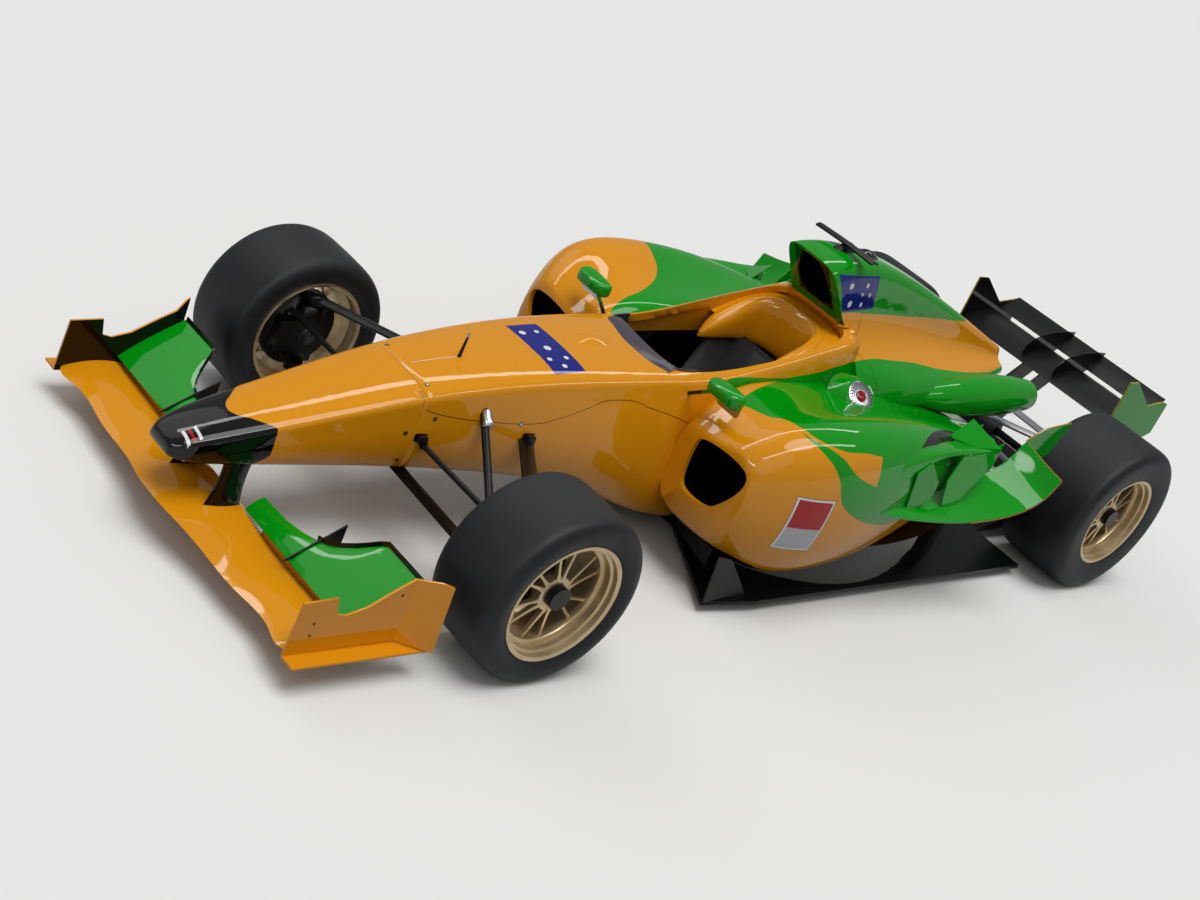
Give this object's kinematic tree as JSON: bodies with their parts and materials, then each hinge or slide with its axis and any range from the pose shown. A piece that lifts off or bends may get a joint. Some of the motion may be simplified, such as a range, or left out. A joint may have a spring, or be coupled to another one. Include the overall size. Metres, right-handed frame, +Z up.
{
  "type": "open wheel racing car",
  "caption": "Single seater racing car with bare wheels, raised nose, wings front and rear, open cockpit and steered front wheels.",
  "frame": {"origin": "on the ground, under the middle of the car's overall box", "axes": "+X to the nose, +Y to the car's left, +Z up"},
  "size_m": [4.74, 1.76, 1.1139],
  "materials": {
    "gold_paint": "gloss",
    "green_paint": "gloss",
    "carbon_black": "semi gloss",
    "gold_pad": "satin",
    "seat_black": "matte",
    "smoked_screen": "gloss",
    "cast_metal": "cast",
    "bare_alloy": "satin",
    "red_lens": "gloss",
    "rim_gold": "satin metallic",
    "tyre_black": "matte",
    "hub_steel": "machined"
  },
  "bodies": {
    "chassis": {"nose_cone": "gold_paint", "tub": "gold_paint", "engine_cover": "green_paint", "sidepods": "gold_paint", "radiators": "bare_alloy", "undercuts": "carbon_black", "seat": "seat_black", "headrest": "gold_pad", "windscreen": "smoked_screen", "dash": "carbon_black", "mirrors": "green_paint", "camera_bar": "carbon_black", "engine": "cast_metal", "gearbox": "cast_metal", "rain_light": "red_lens", "exhausts": "green_paint", "floor": "carbon_black", "floor_vanes": "carbon_black", "diffuser": "carbon_black", "sidepod_winglets": "green_paint", "cooling_outlets": "carbon_black", "front_wing_main": "gold_paint", "front_wing_flaps": "green_paint", "front_wing_endplates": "gold_paint", "front_wing_fences": "carbon_black", "nose_pillars": "carbon_black", "rear_wing_planes": "carbon_black", "rear_wing_endplates": "green_paint", "rear_wing_fences": "carbon_black", "rear_wing_pillars": "carbon_black", "front_wishbones": "carbon_black", "rear_uprights": "carbon_black", "rear_wishbones": "bare_alloy"},
    "knuckle_front_left": {"upright_front_left": "carbon_black"},
    "knuckle_front_right": {"upright_front_right": "carbon_black"},
    "steering_link": {"track_rods": "carbon_black"},
    "wheel_and_column": {"steering_wheel": "seat_black"},
    "wheel_front_left": {"rim_front_left": "rim_gold", "tyre_front_left": "tyre_black", "hub_front_left": "hub_steel"},
    "wheel_front_right": {"rim_front_right": "rim_gold", "tyre_front_right": "tyre_black", "hub_front_right": "hub_steel"},
    "wheel_rear_left": {"rim_rear_left": "rim_gold", "tyre_rear_left": "tyre_black", "hub_rear_left": "hub_steel"},
    "wheel_rear_right": {"rim_rear_right": "rim_gold", "tyre_rear_right": "tyre_black", "hub_rear_right": "hub_steel"}
  },
  "joints": [
    {"name": "steer_left", "type": "hinge", "parent": "chassis", "child": "knuckle_front_left", "pos_m": [1.49, 0.628, 0.297], "axis": [0, 0, 1], "range_deg": [-16, 16]},
    {"name": "steer_right", "type": "hinge", "parent": "chassis", "child": "knuckle_front_right", "pos_m": [1.49, -0.628, 0.297], "axis": [0, 0, 1], "range_deg": [-16, 16]},
    {"name": "spin_front_left", "type": "hinge", "parent": "knuckle_front_left", "child": "wheel_front_left", "pos_m": [1.49, 0.735, 0.297], "axis": [0, 1, 0], "continuous": true},
    {"name": "spin_rear_left", "type": "hinge", "parent": "chassis", "child": "wheel_rear_left", "pos_m": [-1.65, 0.672, 0.34], "axis": [0, 1, 0], "continuous": true},
    {"name": "spin_front_right", "type": "hinge", "parent": "knuckle_front_right", "child": "wheel_front_right", "pos_m": [1.49, -0.735, 0.297], "axis": [0, 1, 0], "continuous": true},
    {"name": "spin_rear_right", "type": "hinge", "parent": "chassis", "child": "wheel_rear_right", "pos_m": [-1.65, -0.672, 0.34], "axis": [0, 1, 0], "continuous": true},
    {"name": "rack_travel", "type": "slide", "parent": "chassis", "child": "steering_link", "axis": [0, 1, 0], "range_m": [-0.0238, 0.0238]},
    {"name": "steering_wheel_turn", "type": "hinge", "parent": "chassis", "child": "wheel_and_column", "pos_m": [0.553, 0, 0.548], "axis": [-0.9703, 0, 0.2419], "range_deg": [-182, 182]}
  ],
  "couplings": [
    {"joint": "steer_right", "follows": "steer_left", "ratio": 1},
    {"joint": "rack_travel", "follows": "steer_left", "m_per_rad": 0.084},
    {"joint": "steering_wheel_turn", "follows": "steer_left", "ratio": 11.25}
  ]
}
